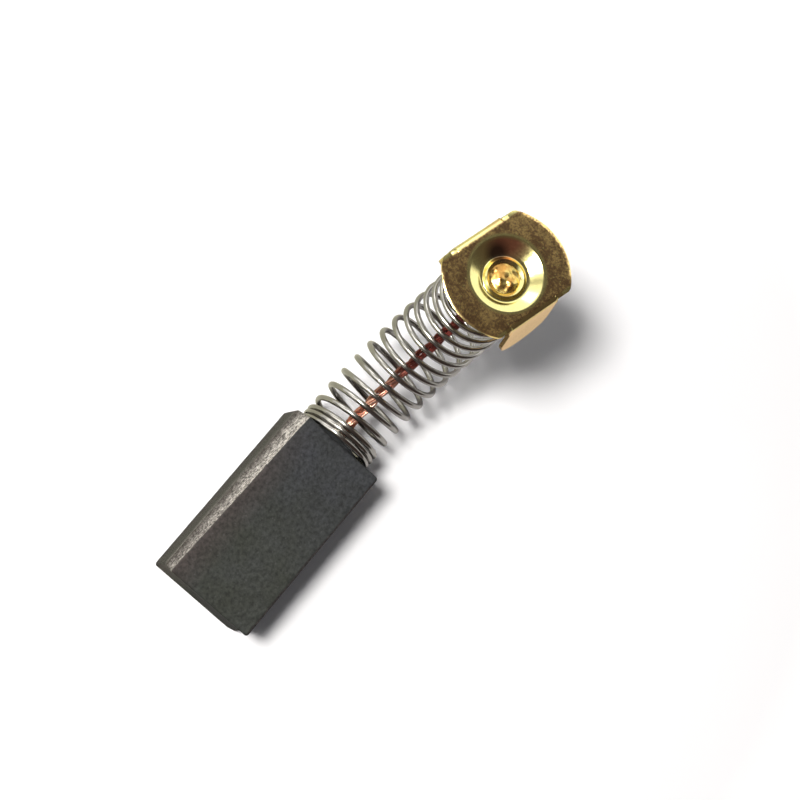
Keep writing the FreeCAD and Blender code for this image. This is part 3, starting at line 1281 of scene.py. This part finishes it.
    def _close_spring_end(self, shell: Shell, outline: list[int]) -> None:
        """Fill the spring end, with the hole's mouth and a low seat, guessed to centre the spring,
        which puts dark carbon where the first coils show only shade.

        Args:
            shell: Mesh that takes it.
            outline: The end's outline.
        """
        rim = [Vector((shell.points[i].y, shell.points[i].z)) for i in outline]
        spokes = [at.normalized() for at in rim]
        foot = self.seat_radius + 0.1
        seat = [(self.seat_radius, 0.06), (self.seat_radius - 0.03, self.seat_height - 0.08),
                (self.seat_radius - 0.12, self.seat_height),
                (self.hole_radius, self.seat_height), (self.hole_radius, -self.hole_shown)]
        rings = [(0.0, [at.lerp(spoke * foot, k / 4) for at, spoke in zip(rim, spokes)])
                 for k in range(1, 5)]
        rings += [(height, [spoke * radius for spoke in spokes]) for radius, height in seat]
        last = outline
        for height, places in rings:
            last = shell.grow(last, [Vector((height, at.x, at.y)) for at in places])

    def _close_contact_end(self, shell: Shell, outline: list[int]) -> None:
        """Fill the contact end, hollow to the commutator's radius.

        Args:
            shell: Mesh that takes it.
            outline: The end's outline.
        """
        rim = [shell.points[i] for i in outline]
        last = outline
        for k in range(1, self.cap_rings):
            share = 1 - k / self.cap_rings
            ring = shell.add_points([Vector((self.contact_x(p.z * share), p.y * share,
                                             p.z * share)) for p in rim])
            shell.bridge(last, ring)
            last = ring
        middle = shell.add_points([Vector((self.contact_x(0), 0, 0))])
        shell.bridge(last, middle * len(last))


@dataclass(frozen=True)
class TerminalCap:
    """The brass cap: flange, dish and eyelet pressed from one sheet, with two bent ears."""

    line: SpringLine
    sheet: float = 0.4
    radius: float = 5.9
    ear_face: float = 4.505
    ear_half: float = 2.6
    ear_length: float = 7.4
    bend_inside: float = 0.2
    splays: Span = (2.6, 6.7)  # degrees that the upper and the lower ear stand open
    wing_inset: float = 0.15
    turn: float = -17.9
    dish_depth: float = 0.56
    wall_foot: float = 2.24
    wall_top: float = 3.38
    blends: tuple[float, float, float] = (0.1, 0.6, 0.5)
    blend_steps: int = 10
    eyelet_radius: float = 1.7
    eyelet_lean: float = 0.3
    eyelet_height: float = 0.33
    eyelet_shift: Span = (-0.26, -0.2)
    shift_from: float = 0.15  # how far outside the eyelet its shift begins to fade
    weld_bite: float = 0.04
    rolled: float = 0.22
    roll_drop: float = 0.06
    edge_rows: tuple[float, ...] = (1.2, 0.8, 0.45, 0.33, 0.22, 0.0)  # distances from the edge
    edge_reach: float = 1.25
    notch_clear: float = 0.5
    notch_at: float = 0.2  # past the bend line
    sharp: float = 50.0  # degrees from which an edge is broken
    broken_edge: float = 0.185
    broken_steps: int = 5
    ear_columns: int = 28
    wing_columns: int = 6
    arc_columns: int = 60
    bend_rows: int = 10
    ear_rows: int = 26

    @property
    def floor(self) -> float:
        """Height of the dish's floor over the coil's seat."""
        return self.sheet - self.dish_depth

    @property
    def lip(self) -> float:
        """Height of the eyelet's lip."""
        return self.floor + self.eyelet_height

    @property
    def bore(self) -> float:
        """Radius of the eyelet at its narrowest, with the weld's bite into it."""
        flank = math.atan2(self.eyelet_lean, self.lip - self.floor)
        return self.eyelet_radius - self.sheet * math.cos(flank) + self.weld_bite

    @property
    def bend_start(self) -> float:
        """Distance from the axis at which the flange turns into an ear."""
        return self.ear_face - self.bend_inside - self.sheet

    @property
    def placement(self) -> Matrix:
        """Give the cap's place on the spring.

        Returns:
            Placement in millimetres.
        """
        seat = self.line.frame_at(self.line.length)
        turned = Matrix.Rotation(math.radians(self.turn), 4, "X")
        return seat @ turned @ Matrix.Rotation(math.radians(90), 4, "Y")

    def build(self, finish: Finish) -> Piece:
        """Press the cap.

        Args:
            finish: Of the brass.

        Returns:
            The cap.
        """
        shell = Shell("brass_cap")
        columns = self._columns()
        flange = self._dish_and_flange(shell, columns)
        for side in (1, -1):
            self._ear(shell, columns, flange, side)
            self._wings(shell, columns, flange, side)
        piece = shell.build([finish], self.placement)
        self._thicken(piece)
        return piece

    def _columns(self) -> list[Vector]:
        """Give the outline of the flat part, up to the two bend lines.

        Returns:
            Points anticlockwise from the end of the upper bend line.
        """
        bend, half = self.bend_start, self.ear_half
        far = math.sqrt(self.radius**2 - bend**2)
        wing = [far + (half - far) * k / self.wing_columns for k in range(self.wing_columns)]
        ear = [half * (1 - 2 * k / self.ear_columns) for k in range(self.ear_columns + 1)]
        line = [Vector((x, bend)) for x in wing + ear + [-x for x in reversed(wing)]]
        start = math.atan2(bend, -far)
        span = 2 * (math.pi - start)
        turns = [start + span * k / self.arc_columns for k in range(1, self.arc_columns)]
        line += [Vector((math.cos(a), math.sin(a))) * self.radius for a in turns]
        return line + [-p for p in line]

    def _dish_and_flange(self, shell: Shell, columns: list[Vector]) -> list[int]:
        """Add the eyelet's wall, the dish and the flat flange.

        Args:
            shell: Mesh that takes them.
            columns: Outline of the flat part.

        Returns:
            Corner indices of that outline.
        """
        corners = [
            (self.eyelet_radius, self.lip), (self.eyelet_radius + self.eyelet_lean, self.floor),
            (self.wall_foot, self.floor), (self.wall_top, self.sheet),
            (self.bend_start, self.sheet),
        ]
        last: list[int] = []
        for radius, height in round_corners(corners, self.blends, self.blend_steps)[:-1]:
            middle = self.ring_middle(radius)
            last = shell.grow(last, [Vector((*(middle + p.normalized() * radius), height))
                                     for p in columns])
        inner = [shell.points[i] for i in last]
        for back in self.edge_rows:
            row = []
            for a, p in zip(inner, columns):
                edge = Vector((*p, self.sheet))
                row.append(edge.lerp(a, back / max((edge - a).length, self.edge_reach)))
                row[-1].z -= self.roll(back, p)
            last = shell.grow(last, row)
        return last

    def ring_middle(self, radius: float) -> Vector:
        """Give the middle of a ring of the pressing, which the punch left a little off the axis.

        Args:
            radius: Of the ring.

        Returns:
            Place square to the axis.
        """
        share = (self.wall_top - radius) / (self.wall_top - self.eyelet_radius - self.shift_from)
        share = min(max(share, 0.0), 1.0)
        return Vector(self.eyelet_shift) * share**2 * (3 - 2 * share)

    def roll(self, back: float, place: Vector) -> float:
        """Tell how far the punched edge is rolled down.

        Args:
            back: Distance from the edge.
            place: Point of the outline.

        Returns:
            Drop in millimetres, 0 beside the bend lines.
        """
        if back >= self.rolled:
            return 0.0
        clear = min(max(self.bend_start - abs(place.y), 0.0), 1.0)
        return self.roll_drop * (1 - back / self.rolled) ** 2.2 * clear**2 * (3 - 2 * clear)

    def _ear(self, shell: Shell, columns: list[Vector], outline: list[int], side: int) -> None:
        """Bend one ear down from the flange.

        Args:
            shell: Mesh that takes it.
            columns: Outline of the flat part.
            outline: Its corner indices.
            side: 1 or -1 for the ear on +Y or -Y.
        """
        picked = [i for i, p in zip(outline, columns)
                  if p.y * side > self.bend_start - HAIR and abs(p.x) < self.ear_half + HAIR]
        outside = self.bend_inside + self.sheet
        splay = math.radians(self.splays[0] if side > 0 else self.splays[1])
        last = picked
        for k in range(1, self.bend_rows + 1):
            angle = (math.pi / 2 - splay) * k / self.bend_rows
            y = self.bend_start + outside * math.sin(angle)
            z = self.sheet - outside + outside * math.cos(angle)
            row = [Vector((shell.points[i].x, side * y, z)) for i in picked]
            last = shell.grow(last, row, closed=False)
        down = Vector((0, side * math.sin(splay), -math.cos(splay)))
        foot = shell.points[last[0]].z
        tip = self.sheet - self.ear_length * math.cos(splay)
        straight = (foot - tip - self.ear_half) / math.cos(splay)
        starts = [shell.points[i] for i in last]
        bows = [math.sqrt(max(0.0, self.ear_half**2 - at.x**2)) / math.cos(splay)
                for at in starts]
        for k in range(1, self.ear_rows + 1):
            row = [start + down * (straight + bow) * k / self.ear_rows
                   for start, bow in zip(starts, bows)]
            last = shell.grow(last, row, closed=False)

    def _wings(self, shell: Shell, columns: list[Vector], outline: list[int], side: int) -> None:
        """Add the flange's corners beside one ear.

        Args:
            shell: Mesh that takes them.
            columns: Outline of the flat part.
            outline: Its corner indices.
            side: 1 or -1 for the ear on +Y or -Y.
        """
        limit = self.ear_face - self.wing_inset
        for end in (1, -1):
            picked = [i for i, p in zip(outline, columns)
                      if p.y * side > self.bend_start - HAIR and p.x * end > self.ear_half - HAIR]
            row = []
            for i in picked:
                here = shell.points[i]
                reach = min(limit, math.sqrt(self.radius**2 - here.x**2))
                if reach < self.bend_start + HAIR:
                    row.append(i)
                else:
                    row += shell.add_points([Vector((here.x, side * reach, here.z))])
            shell.bridge(row, picked, closed=False)

    def _thicken(self, piece: Piece) -> None:
        """Give the sheet its thickness and break its edges.

        Args:
            piece: The cap's upper side.
        """
        shape = bmesh.new()
        shape.from_mesh(piece.data)
        bmesh.ops.remove_doubles(shape, verts=shape.verts, dist=1e-7)
        shape.to_mesh(piece.data)
        shape.free()
        solid = piece.modifiers.new("sheet", "SOLIDIFY")
        solid.thickness = self.sheet * MM
        solid.offset = -1.0
        solid.use_even_offset = True
        solid.use_quality_normals = True
        apply_modifiers(piece)
        self._mark_edges(piece)
        edge = piece.modifiers.new("broken_edge", "BEVEL")
        edge.width = self.broken_edge * MM
        edge.segments = self.broken_steps
        edge.limit_method = "WEIGHT"
        weigh = piece.modifiers.new("even_normals", "WEIGHTED_NORMAL")
        weigh.weight = 80
        apply_modifiers(piece)

    def _mark_edges(self, piece: Piece) -> None:
        """Mark the sheet's edges for breaking, apart from the slits' inner corners.

        Args:
            piece: The cap with its thickness.
        """
        back = self.placement.inverted()
        shape = bmesh.new()
        shape.from_mesh(piece.data)
        weight = shape.edges.layers.float.new("bevel_weight_edge")
        for edge in shape.edges:
            if len(edge.link_faces) != 2 or edge.calc_face_angle() < math.radians(self.sharp):
                continue
            places = [back @ (corner.co / MM) for corner in edge.verts]
            near = min(math.hypot(abs(at.x) - self.ear_half,
                                  abs(at.y) - self.bend_start - self.notch_at) for at in places)
            if near > self.notch_clear:
                edge[weight] = 1.0
        shape.to_mesh(piece.data)
        shape.free()


@dataclass(frozen=True)
class WeldNugget:
    """The lump of weld in the eyelet, with the melted ends of the shunt's wires in it."""

    cap: TerminalCap
    crown: float = 0.05  # how far its middle would stand over the lip, without the sag
    edge_drop: float = 0.35
    sag: float = 0.15
    lumps: float = 0.22
    fine: float = 0.02
    foot: float = -1.15
    rings: int = 26
    spokes: int = 72

    def point(self, radius: float, angle: float) -> Vector:
        """Give a point of the weld's lumpy surface.

        Args:
            radius: Distance from the eyelet's middle.
            angle: Round it.

        Returns:
            Position, its height over the coil's seat.
        """
        share = radius / self.cap.bore
        dome = self.cap.lip + self.crown - (self.crown + self.edge_drop) * share**2
        at = Vector((radius * math.cos(angle), radius * math.sin(angle), 0.0))
        lumps = noise.noise(at * 1.25 + Vector((3.1, 0.7, 0.0)))
        fine = noise.noise(at * 3.0 + Vector((0.0, 9.3, 2.0)))
        rough = self.lumps * lumps + self.fine * fine - self.sag
        return at + Vector((*self.cap.eyelet_shift, dome + (1 - share**6) * rough))

    def build(self, finish: Finish) -> Piece:
        """Build the lump.

        Args:
            finish: Of the weld.

        Returns:
            The lump.
        """
        shell = Shell("weld_nugget")
        last = shell.add_points([self.point(0, 0)]) * self.spokes
        turns = [2 * math.pi * j / self.spokes for j in range(self.spokes)]
        for k in range(1, self.rings + 1):
            radius = self.cap.bore * k / self.rings
            last = shell.grow(last, [self.point(radius, angle) for angle in turns])
        rim = [shell.points[i] for i in last]
        foot = shell.grow(last, [Vector((at.x, at.y, self.foot)) for at in rim])
        shell.add_face(foot[::-1])
        return shell.build([finish], self.cap.placement)


# ---- The studio


@dataclass(frozen=True)
class SoftBox:
    """A square lamp, placed from what the camera looks at, at which it is turned."""

    name: str
    offset: tuple[float, float, float]  # right and up in the picture, and towards the camera
    size: float
    power: float  # watts
    colour: Colour


@dataclass(frozen=True)
class Studio:
    """Floor, lamps, world and camera."""

    camera_at: tuple[float, float, float] = (-32.901, 29.234, 164.356)
    camera_back: tuple[float, float, float] = (-0.23599, 0.18306, 0.95436)
    camera_up: tuple[float, float, float] = (0.74413, 0.66566, 0.05632)
    lens: float = 80.675
    sensor: float = 36.0
    clip: Span = (0.005, 10.0)  # metres
    reach: float = 165.0  # from the camera to what it looks at
    floor_edge: Span = (-19.2, -3.15)  # X and Z of the block's lower edge
    floor_slope: float = -0.0446
    floor_side: float = 1600.0
    lamps: tuple[SoftBox, ...] = (
        SoftBox("key", (-80.0, 84.0, 430.0), 92.0, 2.3, (1.0, 0.985, 0.96)),
        SoftBox("left_window", (-186.0, 54.0, 228.0), 160.0, 0.16, (1.0, 0.99, 0.97)),
        SoftBox("top_strip", (-60.0, 300.0, 150.0), 110.0, 0.115, (1.0, 0.99, 0.97)),
    )
    ambient: Colour = (0.092, 0.092, 0.096)
    dark: tuple[Colour, Colour] = ((0.085, 0.062, 0.055), (0.112, 0.102, 0.093))
    dark_over: Span = (-0.30, -0.03)  # of the rise
    window: Colour = (1.15, 1.15, 1.1)
    window_over: Span = (0.83, 0.93)  # of the nearness to its middle
    sky: Colour = (1.4, 1.4, 1.36)
    sky_over: Span = (0.05, 0.14)  # of the rise
    rise: tuple[float, float, float] = (0.0, 0.75, -0.45)  # right, up and back
    window_at: tuple[float, float, float] = (-0.56, 0.09, 0.82)

    @property
    def axes(self) -> Matrix:
        """Give the camera's axes.

        Returns:
            Matrix whose columns are right, up and back.
        """
        back = Vector(self.camera_back).normalized()
        right = Vector(self.camera_up).cross(back).normalized()
        return Matrix((right, back.cross(right), back)).transposed()

    def set_camera(self) -> None:
        """Make the camera at the photograph's angle."""
        lens = bpy.data.cameras.new("camera")
        lens.lens = self.lens
        lens.sensor_width = self.sensor
        lens.clip_start, lens.clip_end = self.clip
        camera = bpy.data.objects.new("camera", lens)
        camera.matrix_world = Matrix.Translation(Vector(self.camera_at) * MM) @ self.axes.to_4x4()
        bpy.context.scene.collection.objects.link(camera)
        bpy.context.scene.camera = camera

    def set_lamps(self) -> None:
        """Make the lamps."""
        target = Vector(self.camera_at) - Vector(self.camera_back).normalized() * self.reach
        for box in self.lamps:
            light = bpy.data.lights.new(box.name, "AREA")
            light.shape = "SQUARE"
            light.size = box.size * MM
            light.energy = box.power
            light.color = box.colour
            lamp = bpy.data.objects.new(box.name, light)
            offset = self.axes @ Vector(box.offset)
            turned = offset.to_track_quat("Z", "Y").to_matrix().to_4x4()
            lamp.matrix_world = Matrix.Translation((target + offset) * MM) @ turned
            bpy.context.scene.collection.objects.link(lamp)

    def set_world(self) -> None:
        """Make the world: white to the camera; metal mirrors it bright above and dark below."""
        world = bpy.data.worlds.new("studio")
        world.use_nodes = True
        world.node_tree.nodes.clear()
        graph = Graph(world.node_tree)
        rays = graph.add("ShaderNodeLightPath").outputs
        where = graph.add("ShaderNodeTexCoord").outputs["Generated"]
        height, beside = (
            graph.vectors("DOT_PRODUCT", {0: where, 1: tuple(self.axes @ Vector(way))}, "Value")
            for way in (self.rise, self.window_at))
        mirrored = graph.mix(graph.spread(height, *self.dark_over), *self.dark)
        mirrored = graph.mix(graph.spread(beside, *self.window_over), mirrored, self.window)
        mirrored = graph.mix(graph.spread(height, *self.sky_over), mirrored, self.sky)
        colour = graph.mix(rays["Is Glossy Ray"], self.ambient, mirrored)
        colour = graph.mix(rays["Is Camera Ray"], colour, WHITE)
        light = graph.add("ShaderNodeBackground", {"Color": colour, "Strength": 1.0})
        graph.add("ShaderNodeOutputWorld", {"Surface": light.outputs[0]})
        bpy.context.scene.world = world

    def set_floor(self) -> None:
        """Lay the floor under the block's contact end and the spring's first coil."""
        half = self.floor_side / 2
        edge_x, edge_z = self.floor_edge
        shell = Shell("floor")
        corners = [(-half, -half), (half, -half), (half, half), (-half, half)]
        points = [Vector((x, y, edge_z + self.floor_slope * (x - edge_x))) for x, y in corners]
        shell.add_face(shell.add_points(points))
        floor = shell.build([StudioFloor()])
        floor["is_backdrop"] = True

    def build(self) -> None:
        """Set up the studio, with the plain view transform."""
        self.set_floor()
        self.set_lamps()
        self.set_world()
        self.set_camera()
        bpy.context.scene.view_settings.view_transform = "Standard"


@dataclass(frozen=True)
class CarbonBrush:
    """The whole brush, piece by piece."""

    line: SpringLine = SpringLine()
    # the narrow sides' bright grains are partly painted sheen, thickest towards the chamfer and the
    # contact end
    side: Finish = GroundCarbon("side_carbon", (0.036, 0.032, 0.029), (0.40, 0.37, 0.33),
                                across=(-1.6, 0.1), most=0.75, left=(1.0, 0.35))
    # the shunt's last colour and span are painted shade, darkening it towards the cap
    copper: Finish = DrawnWire("stranded_copper", (0.98, 0.62, 0.46), (0.42, 0.13, 0.08),
                               (0.16, 0.3), (3.0, 0.02), 0.001, (0.27, 0.07, 0.055), (12.5, 19.0))

    def tie(self, piece: Piece, node: str, body: Optional[str] = None) -> None:
        """Tie a piece to the frame.

        Args:
            piece: The piece.
            node: Node that it stands for.
            body: Body that it moves with, or None where it gives between the block and the cap.
        """
        if body:
            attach(piece, body)
        else:
            seat = self.line.frame_at(self.line.length).translation * MM
            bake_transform(piece)
        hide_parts(node)
        LOG.info("%s: %d faces", piece.name, len(piece.data.polygons))

    def build(self) -> None:
        """Build and tie every piece."""
        block = CarbonBlock().build(PressedCarbon(), self.side, GroundCarbon())
        self.tie(block, "carbon_block", "brush")
        self.tie(TailSpring(self.line).build(DrawnWire()), "spring")
        self.tie(CopperShunt(self.line).build(self.copper), "shunt")
        cap = TerminalCap(self.line)
        brass = PressedBrass(axes=cap.placement)
        self.tie(cap.build(brass), "terminal_cap", "cap")
        self.tie(WeldNugget(cap).build(HeatTintedWeld()), "shunt_weld", "cap")
        powder = TampedPowder().make()
        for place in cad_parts["tamping_plug"].material_slots:
            place.material = powder
        LOG.info("tamping_plug: finish %s", powder.name)


def write_sizes() -> None:
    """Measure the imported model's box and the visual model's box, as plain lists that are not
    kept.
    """
    boxes = {"cad": CAD_BOX, "visual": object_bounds()}
    plain = {name: [[float(c) for c in corner] for corner in box] for name, box in boxes.items()}


def main() -> None:
    """Build the brush and the studio."""
    logging.basicConfig(level=logging.INFO, format="%(name)s: %(message)s")
    CarbonBrush().build()
    Studio().build()
    write_sizes()


if __name__ == "__main__":
    main()
